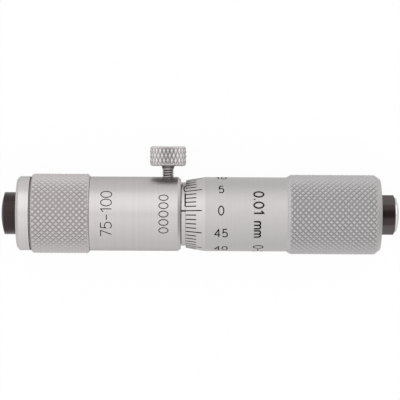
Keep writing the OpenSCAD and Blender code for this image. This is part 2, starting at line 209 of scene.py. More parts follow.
def turned_metal(
    name, colour, roughness, axis=measuring_axis, through=(0, 0, 0), line=0.05, broad_line=0.45, cloud=1.6,
    groove=3e-6, tone=0.05, polish=0.05, hollow_shade=0.92, edge_tone=0.75,
):
    """Turned and plated metal: fine tool rings follow the distance along the axis plus the distance from
    it, so they run round cylinders and faces alike. Broad rings shift the tone a little, and a cloudy
    noise shifts the polish. Line, broad line and cloud are sizes in millimetres. The base colour is
    darkened by painted shade down in the hollows, by the hollow shade, and the metal is duller at a
    glancing angle, by its edge tone."""
    material, surface, node, link = shader(name)
    place = node("ShaderNodeTexCoord")
    local = node("ShaderNodeVectorMath", {1: through}, operation="SUBTRACT")
    link(place.outputs["Object"], local.inputs[0])
    along = node("ShaderNodeVectorMath", {1: axis}, operation="DOT_PRODUCT")
    link(local.outputs[0], along.inputs[0])
    sideways = node("ShaderNodeVectorMath", {1: axis}, operation="CROSS_PRODUCT")
    link(local.outputs[0], sideways.inputs[0])
    distance = node("ShaderNodeVectorMath", operation="LENGTH")
    link(sideways.outputs[0], distance.inputs[0])
    ring = node("ShaderNodeMath", operation="ADD")
    link(along.outputs["Value"], ring.inputs[0])
    link(distance.outputs["Value"], ring.inputs[1])

    fine = node("ShaderNodeTexNoise", {"Scale": 1 / (line * mm), "Detail": 3.0}, noise_dimensions="1D")
    link(ring.outputs[0], fine.inputs["W"])
    bump = node("ShaderNodeBump", {"Strength": 0.7, "Distance": groove})
    link(fine.outputs["Fac"], bump.inputs["Height"])
    link(bump.outputs["Normal"], surface.inputs["Normal"])

    broad = node("ShaderNodeTexNoise", {"Scale": 1 / (broad_line * mm), "Detail": 2.0}, noise_dimensions="1D")
    link(ring.outputs[0], broad.inputs["W"])
    shade = node("ShaderNodeMix", data_type="RGBA")
    link(broad.outputs["Fac"], shade.inputs["Factor"])
    shade.inputs["A"].default_value = (*[channel * (1 - tone) for channel in colour], 1)
    shade.inputs["B"].default_value = (*[channel * (1 + tone) for channel in colour], 1)
    # Painted shade: the base colour is darkened down in the hollows of the cuts, by the hollow shade.
    hollow = node("ShaderNodeAttribute", attribute_name="hollow")
    hollow_shading = node("ShaderNodeMapRange", {"To Min": 1.0, "To Max": hollow_shade})
    link(hollow.outputs["Fac"], hollow_shading.inputs["Value"])
    shaded_base = node("ShaderNodeVectorMath", operation="SCALE")
    link(shade.outputs["Result"], shaded_base.inputs[0])
    link(hollow_shading.outputs["Result"], shaded_base.inputs["Scale"])
    link(shaded_base.outputs["Vector"], surface.inputs["Base Color"])

    clouds = node("ShaderNodeTexNoise", {"Scale": 1 / (cloud * mm), "Detail": 3.0})
    link(place.outputs["Object"], clouds.inputs["Vector"])
    polished = node("ShaderNodeMapRange", {"To Min": roughness - polish, "To Max": roughness + polish})
    link(clouds.outputs["Fac"], polished.inputs["Value"])
    link(polished.outputs["Result"], surface.inputs["Roughness"])
    surface.inputs["Metallic"].default_value = 1.0
    surface.inputs["Specular Tint"].default_value = (edge_tone, edge_tone, edge_tone, 1)
    return material


def in_bands(piece, limits, materials, axis=measuring_axis, through=np.zeros(3)):
    """Gives each face one of several materials by its middle's place along an axis: the first up to the
    first limit, the next up to the next limit, and the last beyond it."""
    for material in materials:
        piece.data.materials.append(material)
    middle = np.empty(3 * len(piece.data.polygons))
    piece.data.polygons.foreach_get("center", middle)
    place = (middle.reshape(-1, 3) - through) @ axis
    piece.data.polygons.foreach_set("material_index", np.searchsorted(limits, place).astype(np.int32))


satin_chrome = turned_metal("satin_chrome", (0.530, 0.505, 0.503), 0.36, edge_tone=0.68)
# The grip's chrome takes painted shade in the knurl's hollows.
grip_chrome = turned_metal("grip_chrome", (0.605, 0.577, 0.575), 0.36, hollow_shade=0.82, edge_tone=0.62)
# Painted shade: a dark chrome for joints, gaps and grooves where shade falls.
seam_shade = turned_metal("seam_shade", (0.31, 0.295, 0.29), 0.5)

barrel_cuts = barrel_knurls_along * cuts_per_knurl
barrel_knurl_rows = np.linspace(barrel_grip_start, barrel_grip_end, barrel_cuts + 1)
from_edge = np.minimum(barrel_knurl_rows - barrel_grip_start, barrel_grip_end - barrel_knurl_rows)
barrel_blank = grip_r - np.maximum(0, knurl_chamfer - from_edge)[:, None]
barrel_knurl_r = knurl(
    barrel_knurl_rows - barrel_grip_start, grip_columns,
    (barrel_grip_end - barrel_grip_start) / barrel_knurls_along, knurls_round, grip_r, knurl_depth,
)
barrel_knurl_r = np.minimum(barrel_knurl_r, barrel_blank)
barrel_outline = rounded([
    (barrel_grip_end, grip_r - knurl_chamfer),
    (barrel_grip_end, barrel_r - knurl_undercut[1]),
    (barrel_grip_end + knurl_undercut[0], barrel_r - knurl_undercut[1]),
    (barrel_grip_end + knurl_undercut[0], barrel_r),
    (barrel_end - barrel_chamfer[0], barrel_r),
    (barrel_end, barrel_r - barrel_chamfer[1]),
    (barrel_end, barrel_bore_r),
    (barrel_start, barrel_bore_r),
    (barrel_start, barrel_r),
    (barrel_grip_start, grip_r - knurl_chamfer),
], fine_edge, closed=False)
# Painted shade on the first stretch of the knurl beside the end cap's joint, fading over a short reach.
cap_joint_shade = np.clip(1 - (barrel_knurl_rows - barrel_grip_start) / joint_shade_reach, 0, 1)[:, None]
barrel_hollow_shade = np.maximum(((barrel_blank - barrel_knurl_r) / knurl_depth) ** hollow_power, cap_joint_shade)
barrel_plain_r = np.repeat(barrel_outline[:, 1:], grip_columns, axis=1)
barrel = turned(
    "barrel_tube",
    np.concatenate([barrel_outline[:, 0], barrel_knurl_rows]),
    np.vstack([barrel_plain_r, barrel_knurl_r]),
    grip_columns,
    closed=True,
    hollow=np.vstack([np.zeros_like(barrel_plain_r), barrel_hollow_shade]),
)
# Painted shade at both ends of the barrel, at its joints with the end cap and the sleeve.
in_bands(
    barrel, [barrel_start + 2 * fine_edge, barrel_grip_end, barrel_end - fine_edge],
    [seam_shade, grip_chrome, satin_chrome, seam_shade],
)
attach(barrel, "barrel_group")
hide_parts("barrel")


# Range and number on the barrel: engraved by a single-stroke cutter and filled with black paint.
# They read along the barrel's girth, with the tops of the figures towards the fixed contact.

paint_proud = 0.01 * mm
paint_sunk = 0.08 * mm
range_height = 2.02 * mm
range_base = 20.98 * mm
number_height = 1.7 * mm
number_base = 31.5 * mm
barrel_stroke = 0.17 * mm
stroke_step = 0.15 * mm
clamp_turn = next(joint for joint in frame["record"]["behaviour"]["joints"] if joint["name"] == "clamp_turn")
clamp_axis = np.array(clamp_turn["axis"])
clamp_axis = clamp_axis / np.linalg.norm(clamp_axis)
facing_angle = math.atan2(-clamp_axis[2], clamp_axis[1])


def arc(x, y, half_width, half_height, start, stop, count=14):
    """Points of an ellipse from one angle to another, in degrees."""
    turn = np.radians(np.linspace(start, stop, count))
    return np.stack([x + half_width * np.cos(turn), y + half_height * np.sin(turn)], axis=1)


def figure(sign):
    """Strokes of a figure one unit high, each as its points and whether it closes on itself, and the
    figure's width. Round figures are ellipses and arcs, and straight ones are lines."""
    line = np.array
    strokes = {
        "0": ([(arc(0.31, 0.5, 0.31, 0.5, 0, 345, 24), True)], 0.62),
        "1": ([(line([(0.04, 0.76), (0.3, 1.0), (0.3, 0.0)]), False)], 0.4),
        "2": ([(np.vstack([arc(0.31, 0.7, 0.29, 0.3, 165, -38), [(0.02, 0.0), (0.62, 0.0)]]), False)], 0.62),
        "3": ([
            (np.vstack([arc(0.29, 0.75, 0.26, 0.25, 155, -80), arc(0.29, 0.26, 0.3, 0.26, 80, -155)]), False)
        ], 0.6),
        "4": ([(line([(0.48, 0.0), (0.48, 1.0), (0.0, 0.3), (0.66, 0.3)]), False)], 0.66),
        "5": ([
            (np.vstack([
                line([(0.56, 1.0), (0.13, 1.0), (0.06, 0.5)]), arc(0.3, 0.32, 0.3, 0.32, 122, -148)
            ]), False)
        ], 0.6),
        "7": ([(line([(0.0, 1.0), (0.6, 1.0), (0.2, 0.0)]), False)], 0.6),
        "-": ([(line([(0.04, 0.46), (0.5, 0.46)]), False)], 0.54),
        ".": ([(line([(0.0, 0.06), (0.12, 0.06)]), False)], 0.12),
        " ": ([], 0.3),
        "m": ([
            (line([(0.0, 0.0), (0.0, 0.68)]), False),
            (np.vstack([arc(0.19, 0.46, 0.19, 0.22, 165, 0, 8), [(0.38, 0.0)]]), False),
            (np.vstack([arc(0.57, 0.46, 0.19, 0.22, 165, 0, 8), [(0.76, 0.0)]]), False),
        ], 0.76),
    }
    return strokes[sign]


def lettering(words, height, centre, right, rise, gap=0.24, breadth=1.0):
    """Strokes of a row of figures, laid out on the unrolled surface: a figure's own width, times breadth,
    runs along right and its height along rise, from a base line whose middle is the centre."""
    widths = breadth * np.array([figure(sign)[1] for sign in words])
    left = np.concatenate([[0], np.cumsum(widths + gap)])[:-1]
    middle = (left[-1] + widths[-1]) / 2
    right = np.array(right, float)
    rise = np.array(rise, float)
    strokes = []
    for sign, start in zip(words, left):
        for path, closed in figure(sign)[0]:
            place = (breadth * path[:, :1] + start - middle) * right + path[:, 1:] * rise
            strokes.append((np.array(centre) + height * place, closed))
    return strokes


def stepped(path, closed):
    """The same path with each of its straight stretches cut into equal short steps, so that it can bend
    round the surface."""
    knots = np.vstack([path, path[:1]]) if closed else path
    counts = np.ceil(np.linalg.norm(np.diff(knots, axis=0), axis=1) / stroke_step).astype(int)
    place = np.concatenate([start + np.arange(count) / count for start, count in enumerate(counts)])
    if not closed:
        place = np.append(place, len(knots) - 1)
    return np.stack([np.interp(place, np.arange(len(knots)), column) for column in knots.T], axis=1)


def painted(name, strokes, width, radius_at, sharpest=0.6):
    """Paint in engraved strokes, as closed bars. A stroke's two edges lie half a width to either side of
    its path on the unrolled surface (place along the axis, angle times the radius). At a bend that is
    divided by the cosine of half the bend, which counts as no less than sharpest. The bar's top stands
    just proud of the surface and its bottom lies inside."""
    points = []
    faces = []
    used = 0
    for knots, closed in strokes:
        path = stepped(knots, closed)
        step = np.diff(np.vstack([path, path[:1]]) if closed else path, axis=0)
        step = step / np.linalg.norm(step, axis=1, keepdims=True)
        side = np.stack([-step[:, 1], step[:, 0]], axis=1)
        before = np.roll(side, 1, axis=0) if closed else np.vstack([side[:1], side])
        after = side if closed else np.vstack([side, side[-1:]])
        across = before + after
        across = across / np.linalg.norm(across, axis=1, keepdims=True)
        across = across / np.maximum((across * after).sum(axis=1, keepdims=True), sharpest)
        left = path + across * width / 2
        right = path - across * width / 2
        ring = []
        lifts = (paint_proud, paint_proud, -paint_sunk, -paint_sunk)
        for edge, lift in zip((left, right, right, left), lifts):
            angle = edge[:, 1] / radius_at(np.full(len(edge), knots[:, 0].mean()))
            r = radius_at(edge[:, 0]) + lift
            ring.append(np.stack([edge[:, 0], r * np.sin(angle), r * np.cos(angle)], axis=1))
        count = len(path)
        points.append(np.stack(ring, axis=1).reshape(-1, 3))
        row = np.arange(count if closed else count - 1)[:, None] * 4
        corner = np.arange(4)[None, :]
        next_row = (row + 4) % (4 * count)
        next_corner = (corner + 1) % 4
        quads = np.stack([row + corner, row + next_corner, next_row + next_corner, next_row + corner], axis=2)
        faces += (used + quads.reshape(-1, 4)).tolist()
        if not closed:
            faces += [[used, used + 1, used + 2, used + 3], [used + 4 * count - 4 + i for i in range(4)]]
        used += 4 * count
    return finished(name, np.vstack(points), faces)


def black_paint(name, grain_size=0.12):
    """Dull black paint, a little thinner in places, with a grain of a given size in millimetres."""
    material, surface, node, link = shader(name)
    place = node("ShaderNodeTexCoord")
    grain = node("ShaderNodeTexNoise", {"Scale": 1 / (grain_size * mm), "Detail": 2.0})
    link(place.outputs["Object"], grain.inputs["Vector"])
    shade = node("ShaderNodeMix", data_type="RGBA")
    shade.inputs["A"].default_value = (0.008, 0.007, 0.007, 1)
    shade.inputs["B"].default_value = (0.026, 0.022, 0.021, 1)
    link(grain.outputs["Fac"], shade.inputs["Factor"])
    link(shade.outputs["Result"], surface.inputs["Base Color"])
    surface.inputs["Roughness"].default_value = 0.6
    surface.inputs["Specular IOR Level"].default_value = 0.0
    return material


scale_paint = black_paint("scale_paint")


def barrel_surface(x):
    """Radius of the barrel's plain length."""
    return np.full(len(x), barrel_r)


barrel_strokes = lettering(
    "75-100", range_height, (range_base, facing_angle * barrel_r), (0, 1), (-1, 0), gap=0.17, breadth=1.06
) + lettering(
    "00000", number_height, (number_base, facing_angle * barrel_r), (0, 1), (-1, 0), gap=0.27, breadth=1.06
)
barrel_marks = painted("barrel_marks", barrel_strokes, barrel_stroke, barrel_surface)
barrel_marks.data.materials.append(scale_paint)
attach(barrel_marks, "barrel_group")


# End cap: a chromed flanged cap, turned in one chucking and screwed into the barrel's left end.
# A shallow groove marks its joint with the barrel.

cap_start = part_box("end_cap")[0].x
cap_inner_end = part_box("end_cap")[1].x
cap_chamfer = 0.5 * mm
cap_seam_width = 0.27 * mm
cap_seam_depth = 0.35 * mm
cap_spigot_r = 6.0 * mm
cap_hollow_r = 3.8 * mm
cap_hollow_start = 4.95 * mm
cap_hole_r = 2.02 * mm
plain_columns = 192
cap_outline = rounded([
    (cap_start, cap_hole_r),
    (cap_start, barrel_r - cap_chamfer),
    (cap_start + cap_chamfer, barrel_r),
    (barrel_start - cap_seam_width, barrel_r),
    (barrel_start - cap_seam_width, barrel_r - cap_seam_depth),
    (barrel_start - seat_gap, barrel_r - cap_seam_depth),
    (barrel_start - seat_gap, cap_spigot_r),
    (cap_inner_end, cap_spigot_r),
    (cap_inner_end, cap_hollow_r),
    (cap_hollow_start, cap_hollow_r),
    (cap_hollow_start, cap_hole_r),
], fine_edge)
end_cap = turned("end_cap_turning", cap_outline[:, 0], cap_outline[:, 1], plain_columns, closed=True)
cap_chrome = turned_metal("cap_chrome", (0.575, 0.55, 0.547), 0.34)
# Painted shade in the seam groove at the joint with the barrel.
in_bands(
    end_cap, [barrel_start - cap_seam_width - seat_gap, barrel_start], [cap_chrome, seam_shade, cap_chrome]
)
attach(end_cap, "barrel_group")
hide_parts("end_cap")


# Fixed contact: a hardened steel button with a spherical face, turned, ground and blackened. Its
# threaded shank is screwed into the end cap.

contact_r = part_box("fixed_contact")[1].y
contact_shoulder = cap_start - seat_gap
contact_face_r = 13.0 * mm
contact_shank_r = 2.0 * mm
contact_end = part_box("fixed_contact")[1].x
contact_edge = 0.09 * mm
contact_face_end = contact_face_r - math.sqrt(contact_face_r ** 2 - contact_r ** 2)


def dome(radius, edge_r, pole, direction, count=16):
    """Outline of a spherical cap, as (place along the axis, radius) from its pole to its edge. The cap
    bulges along direction, +1 or -1, from its edge."""
    lean = np.linspace(0, math.asin(edge_r / radius), count)
    return np.stack([pole - direction * radius * (1 - np.cos(lean)), radius * np.sin(lean)], axis=1)


def black_oxide_steel(name, roughness, groove, refraction=1.5):
    """Blackened and oiled steel: a glossy black skin that mirrors no more than lacquer does, a little
    brown, over fine tool rings with slightly browner ones among them."""
    material = turned_metal(
        name, (0.014, 0.0085, 0.008), roughness, line=0.09, groove=groove, tone=0.25, polish=0.02
    )
    surface = material.node_tree.nodes["Principled BSDF"]
    surface.inputs["Metallic"].default_value = 0.0
    surface.inputs["IOR"].default_value = refraction
    surface.inputs["Specular Tint"].default_value = (0.93, 0.79, 0.78, 1)
    return material


black_oxide = black_oxide_steel("black_oxide", 0.26, 2e-6, refraction=1.44)
contact_dome = dome(contact_face_r, contact_r, 0.0, -1)
contact_outline = np.vstack([
    contact_dome[:-1],
    rounded([
        contact_dome[-2],
        contact_dome[-1],
        (contact_shoulder, contact_r),
        (contact_shoulder, contact_shank_r),
        (contact_end, contact_shank_r),
        (contact_end, 0.0),
    ], contact_edge, closed=False)[1:],
])
fixed_contact = turned(
    "fixed_contact_button", contact_outline[:, 0], contact_outline[:, 1], plain_columns, closed=False
)
contact_face_black = black_oxide_steel("contact_face_black", 0.5, 2e-6, refraction=1.35)
in_bands(fixed_contact, [contact_face_end], [contact_face_black, black_oxide])
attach(fixed_contact, "barrel_group")
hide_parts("fixed_contact")


# Inner sleeve, adjusting nut and spindle: ground steel, seen only when the thimble is wound out.
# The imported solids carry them, and the grinding marks run round them.

ground_steel = turned_metal("ground_steel", (0.50, 0.50, 0.51), 0.28, line=0.03, groove=4e-6)
for node_name in ("inner_sleeve", "adjusting_nut", "spindle"):
    for material_slot in frame["nodes"][node_name].material_slots:
        material_slot.material = ground_steel


# Scale sleeve: a chromed tube on the inner sleeve, graduated in millimetres above its index line and
# in half millimetres below it. A spanner in the hole opposite the index turns it to zero. Only its
# first millimetre shows while the thimble is wound in, beside the tool's relief at the barrel's mouth.

sleeve_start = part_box("scale_sleeve")[0].x
sleeve_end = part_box("scale_sleeve")[1].x
sleeve_r = 6.0 * mm
sleeve_bore_r = 5.12 * mm
thimble_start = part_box("thimble")[0].x
travel_mm = 25
numbered_every = 5
half_reading = 0.5 * mm
index_angle = facing_angle + math.radians(5.8)
tick_line = 0.24 * mm
index_line = 0.3 * mm
tick_near = math.radians(8)
tick_short = math.radians(16)
tick_long = math.radians(26)
tick_to_figure = math.radians(4)
sleeve_figure = 1.7 * mm
sleeve_stroke = 0.2 * mm
sleeve_breadth = 0.72
sleeve_figure_shift = 0.15 * mm
relief_width = 0.1 * mm
relief_depth = 0.4 * mm
spanner_hole_x = thimble_start + 5 * mm
spanner_hole_r = 0.6 * mm
spanner_hole_floor = sleeve_bore_r + 0.03 * mm
spanner_hole_rows = 30
spanner_hole_margin = 1.2
sleeve_columns = 720

sleeve_outline = rounded([
    (sleeve_start, sleeve_bore_r),
    (sleeve_start, sleeve_r),
    (barrel_end - relief_width / 2, sleeve_r),
    (barrel_end - relief_width / 2, sleeve_r - relief_depth),
    (barrel_end + relief_width, sleeve_r - relief_depth),
    (barrel_end + relief_width, sleeve_r),
    (sleeve_end, sleeve_r),
    (sleeve_end, sleeve_bore_r),
], fine_edge)
hole_span = np.linspace(-spanner_hole_margin, spanner_hole_margin, spanner_hole_rows)
hole_rows = spanner_hole_x + hole_span * spanner_hole_r
hole_from = np.argmax(sleeve_outline[:, 0] > hole_rows[0])
hole_outline = np.stack([hole_rows, np.full(spanner_hole_rows, sleeve_r)], axis=1)
sleeve_outline = np.insert(sleeve_outline, hole_from, hole_outline, axis=0)
hole_angle = np.linspace(0, 2 * math.pi, sleeve_columns, endpoint=False) - index_angle
from_hole = np.hypot(sleeve_outline[:, :1] - spanner_hole_x, sleeve_r * (hole_angle - math.pi)[None, :])
scale_sleeve = turned(
    "scale_sleeve_tube",
    sleeve_outline[:, 0],
    np.where(from_hole < spanner_hole_r, spanner_hole_floor, sleeve_outline[:, 1:]),
    sleeve_columns,
    closed=True,
)
# Painted shade in the tool's relief beside the barrel's mouth.
in_bands(
    scale_sleeve, [barrel_end - relief_width, barrel_end + relief_width + seat_gap],
    [satin_chrome, seam_shade, satin_chrome],
)
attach(scale_sleeve, "barrel_group")
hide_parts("scale_sleeve")


def sleeve_surface(x):
    """Radius of the scale sleeve."""
    return np.full(len(x), sleeve_r)


def girth_line(x, start, stop, count=9):
    """Path of a line round the sleeve, from one angle to another."""
    angle = np.linspace(start, stop, count)
    return np.stack([np.full(count, x), angle * sleeve_r], axis=1), False


index_ends = np.array([barrel_end + relief_width, thimble_start + travel_mm * mm])
index_stroke = (np.stack([index_ends, np.full(2, index_angle * sleeve_r)], axis=1), False)
above_index = index_angle + tick_near
below_index = index_angle - tick_near
tick_strokes = []
reading_strokes = []
for reading in range(travel_mm + 1):
    tick_x = thimble_start - tick_line / 2 + reading * mm
    tick_span = tick_long if reading % numbered_every == 0 else tick_short
    tick_strokes.append(girth_line(tick_x, above_index, above_index + tick_span))
    if reading < travel_mm:
        tick_strokes.append(girth_line(tick_x + half_reading, below_index, below_index - tick_short))
    if reading % numbered_every == 0:
        figure_arc = (above_index + tick_long + tick_to_figure) * sleeve_r
        reading_strokes += lettering(
            str(reading), sleeve_figure, (tick_x + sleeve_figure_shift, figure_arc), (1, 0), (0, 1),
            breadth=sleeve_breadth,
        )
for name, strokes, width in (
    ("sleeve_index", [index_stroke], index_line),
    ("sleeve_ticks", tick_strokes, tick_line),
    ("sleeve_figures", reading_strokes, sleeve_stroke),
):
    marks = painted(name, strokes, width, sleeve_surface)
    marks.data.materials.append(scale_paint)
    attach(marks, "barrel_group")


# Thimble: a chromed drum with a bevelled edge of 50 divisions and a knurled grip, turned in one piece.
# It is drawn on to the spindle's taper, and its right end is bevelled back to the hexagon.

thimble_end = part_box("thimble")[1].x
thimble_r = 7.0 * mm
thimble_bore_r = 6.07 * mm
bevel_r = 6.36 * mm
bevel_end = thimble_start + 3.6 * mm
thimble_grip_end = thimble_end - 1.05 * mm
thimble_grip_start = thimble_grip_end - 15.8 * mm
thimble_rise = 0.6
thimble_knurls_along = 15
thimble_wall_start = thimble_end - 2.1 * mm
thimble_mouth_r = 3.08 * mm
thimble_seat_r = 3.48 * mm
rise_reach = 0.8 * mm
rise_plain = 0.15 * mm
bevel_blend = 4.0 * mm
end_slope = 0.75
end_slope_start = thimble_end - 1.12 * mm
end_round = 0.22 * mm
divisions = 50
dial_line = 0.2 * mm
line_start = thimble_start + 0.03 * mm
short_line = 1.95 * mm
long_line = 3.0 * mm
dial_figure = 1.66 * mm
dial_figure_x = thimble_start + 6.6 * mm
dial_breadth = 0.94
dial_stroke = 0.22 * mm
unit_height = 1.8 * mm
unit_base = thimble_start + 12.7 * mm
unit_stroke = 0.3 * mm
span_angle = facing_angle - math.radians(79)

thimble_pitch = (thimble_grip_end - thimble_grip_start) / thimble_knurls_along
thimble_step = thimble_pitch / cuts_per_knurl
rise_start = thimble_grip_start - rise_reach
first_cut = -int((rise_reach - rise_plain) / thimble_step)
last_cut = math.ceil((end_slope_start + knurl_depth / end_slope - thimble_grip_start) / thimble_step)
thimble_knurl_rows = thimble_grip_start + thimble_step * np.arange(first_cut, last_cut + 1)
thimble_blank = np.minimum(
    grip_r - end_slope * np.maximum(0, thimble_knurl_rows - end_slope_start),
    thimble_r + thimble_rise * (thimble_knurl_rows - rise_start),
)[:, None]
thimble_knurl_r = knurl(
    thimble_knurl_rows - thimble_grip_start, grip_columns,
    thimble_pitch, knurls_round, grip_r, knurl_depth,
)
thimble_knurl_r = np.minimum(thimble_blank, thimble_knurl_r)
thimble_outline = rounded(
    [
        (thimble_knurl_rows[-1] + seat_gap, thimble_blank[-1, 0] - seat_gap * end_slope),
        (thimble_end, grip_r - end_slope * (thimble_end - end_slope_start)),
        (thimble_end, thimble_mouth_r),
        (thimble_wall_start, thimble_seat_r),
        (thimble_wall_start, thimble_bore_r),
        (thimble_start, thimble_bore_r),
        (thimble_start, bevel_r),
        (bevel_end, thimble_r),
        (rise_start, thimble_r),
        (thimble_knurl_rows[0] - seat_gap, thimble_blank[0, 0] - seat_gap * thimble_rise),
    ],
    [end_round] + 5 * [fine_edge] + [bevel_blend, fine_edge],
    closed=False,
)
thimble_plain_r = np.repeat(thimble_outline[:, 1:], grip_columns, axis=1)
thimble_hollow = ((thimble_blank - thimble_knurl_r) / knurl_depth) ** hollow_power
thimble = turned(
    "thimble_drum",
    np.concatenate([thimble_outline[:, 0], thimble_knurl_rows]),
    np.vstack([thimble_plain_r, thimble_knurl_r]),
    grip_columns,
    closed=True,
    hollow=np.vstack([np.zeros_like(thimble_plain_r), thimble_hollow]),
)
bevel_chrome = turned_metal("bevel_chrome", (0.545, 0.523, 0.521), 0.36, tone=0.03)
drum_chrome = turned_metal(
    "drum_chrome", (0.507, 0.488, 0.487), 0.5, tone=0.03, broad_line=0.3, edge_tone=0.95
)
# The knurled grip takes painted shade in its hollows.
drum_grip_chrome = turned_metal(
    "drum_grip_chrome", (0.541, 0.530, 0.531), 0.4, tone=0.03, hollow_shade=0.84, edge_tone=0.66
)
in_bands(
    thimble, [bevel_end, rise_start, end_slope_start],
    [bevel_chrome, drum_chrome, drum_grip_chrome, drum_chrome],
)
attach(thimble, "thimble_group")
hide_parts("thimble")


def thimble_surface(x):
    """Radius of the thimble's bevel and of the plain drum behind it."""
    return np.interp(x, [thimble_start, bevel_end], [bevel_r, thimble_r])


line_strokes = []
dial_strokes = []
for division in range(divisions):
    angle = index_angle + 2 * math.pi * division / divisions
    length = long_line if division % numbered_every == 0 else short_line
    line_x = np.array([line_start, thimble_start + length])
    line_arc = np.full(2, angle * thimble_surface(line_x.mean()))
    line_strokes.append((np.stack([line_x, line_arc], axis=1), False))
    if division % numbered_every == 0:
        figure_arc = angle * thimble_r - dial_figure / 2
        dial_strokes += lettering(
            str(division), dial_figure, (dial_figure_x, figure_arc), (1, 0), (0, 1), breadth=dial_breadth
        )
unit_strokes = lettering("0.01 mm", unit_height, (unit_base, facing_angle * thimble_r), (0, -1), (1, 0))
dial_strokes += lettering("0-25", unit_height, (unit_base, span_angle * thimble_r), (0, -1), (1, 0))
for name, strokes, width in (
    ("thimble_lines", line_strokes, dial_line),
    ("thimble_figures", dial_strokes, dial_stroke),
    ("thimble_unit", unit_strokes, unit_stroke),
):
    marks = painted(name, strokes, width, thimble_surface)
    marks.data.materials.append(scale_paint)
    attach(marks, "thimble_group")


# Moving contact: a blackened steel hexagon with chamfered corners, screwed into the spindle's end.
# It holds the thimble on its taper and carries the tip.

hex_start = thimble_end + seat_gap
hex_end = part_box("moving_contact")[1].x
hex_shank_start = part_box("moving_contact")[0].x
hex_flat = 3.3 * mm
hex_corner = hex_flat / math.cos(math.pi / 6)
hex_crown = 0.033 * mm
hex_break = 0.05 * mm
hex_chamfer = 0.2 * mm
chamfer_slope = 2
chamfer_start = hex_end - 1.5 * hex_chamfer
chamfer_rows = 12
flat_rows = 8
hex_shank_r = 2.0 * mm
hex_back_r = hex_flat - 0.3 * mm
socket_r = 1.52 * mm
socket_end = hex_end - 1.7 * mm
hex_columns = 360
corner_angle = math.pi / 2 + facing_angle


def hexagon(columns, sharpness=120):
    """Radius of a hexagon with a corner along the clamp screw and its corners just broken: the flats'
    distance over a high-power mean of the cosines to the three pairs of flats. Polishing leaves each
    flat lower towards its edges, by the crown's height times the square of the place across it."""
    angle = np.linspace(0, 2 * math.pi, columns, endpoint=False) - corner_angle
    flats = np.radians([30, 90, 150])
    cosines = np.abs(np.cos(angle[:, None] - flats[None, :]))
    across = (1 / cosines.max(axis=1) ** 2 - 1) / math.tan(math.pi / 6) ** 2
    return (hex_flat - hex_crown * across) / (cosines ** sharpness).sum(axis=1) ** (1 / sharpness)


hex_radius = hexagon(hex_columns)
hex_rows = np.concatenate([
    [hex_start],
    np.linspace(hex_start + hex_break, chamfer_start - hex_break, flat_rows),
    np.linspace(chamfer_start, hex_end, chamfer_rows),
])
hex_cone = hex_corner + chamfer_slope * (hex_end - hex_rows - hex_chamfer)
hex_rows_r = np.minimum(hex_radius[None, :], hex_cone[:, None])
hex_rows_r[0] -= hex_break
shank = rounded([
    (hex_shank_start, 0.0),
    (hex_shank_start, hex_shank_r),
    (hex_start, hex_shank_r),
    (hex_start, hex_back_r),
], fine_edge, closed=False)
socket = rounded([
    (hex_end, hex_flat - 2 * hex_break),
    (hex_end, socket_r),
    (socket_end, socket_r),
    (socket_end, 0.0),
], fine_edge, closed=False)
moving_contact = turned(
    "moving_contact_hexagon",
    np.concatenate([shank[:, 0], hex_rows, socket[:, 0]]),
    np.vstack([
        np.repeat(shank[:, 1:], hex_columns, axis=1),
        hex_rows_r,
        np.repeat(socket[:, 1:], hex_columns, axis=1),
    ]),
    hex_columns,
    closed=False,
)
hexagon_black = black_oxide_steel("hexagon_black", 0.07, 0.2e-6, refraction=1.55)
moving_contact.data.materials.append(hexagon_black)
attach(moving_contact, "thimble_group")
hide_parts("moving_contact")


# Contact tip: a button of hard metal with a spherical face, ground and polished. Its stem is brazed
# into the hexagon's end.

tip_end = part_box("contact_tip")[1].x
tip_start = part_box("contact_tip")[0].x
tip_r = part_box("contact_tip")[1].y
tip_face_r = 9.5 * mm
tip_stem_r = 1.5 * mm
tip_seat = hex_end + seat_gap
polished_tip = turned_metal("polished_tip", (0.66, 0.642, 0.635), 0.16, line=0.1, groove=1e-6, tone=0.03)
tip_dome = dome(tip_face_r, tip_r, tip_end, 1, count=24)[::-1]
tip_outline = np.vstack([
    rounded([
        (tip_start, 0.0),
        (tip_start, tip_stem_r),
        (tip_seat, tip_stem_r),
        (tip_seat, tip_r),
        tip_dome[0],
        tip_dome[1],
    ], fine_edge, closed=False)[:-1],
    tip_dome[1:],
])
contact_tip = turned("contact_tip_dome", tip_outline[:, 0], tip_outline[:, 1], plain_columns, closed=False)
contact_tip.data.materials.append(polished_tip)
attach(contact_tip, "tip_slide")
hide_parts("contact_tip")


# Clamp screw: a chromed knurled knob and its threaded shank, turned in one piece.
# It screws through the barrel and the inner sleeve on to a brass pad.

clamp_through = np.array(clamp_turn["pos_m"])
screw_bottom = 4.605 * mm
screw_r = 1.1 * mm
screw_pitch = 0.45 * mm
thread_depth = 0.22 * mm
thread_run_out = 0.2 * mm
thread_row_count = 110
screw_chamfer = 0.2 * mm
foot_end = screw_bottom + 1.2 * screw_chamfer
thread_start = screw_bottom + 0.25 * mm
collar_bottom = 8.58 * mm
collar_r = 1.27 * mm
knob_bottom = 9.08 * mm
knob_top = 12.75 * mm
knob_r = 3.46 * mm
knob_chamfer = 0.35 * mm
knob_knurl_depth = 0.26 * mm
knob_blunt = 0.9
knob_knurls_round = 26
knob_knurls_along = 2
cuts_per_knob_knurl = 16
knob_columns = knob_knurls_round * cuts_per_knob_knurl

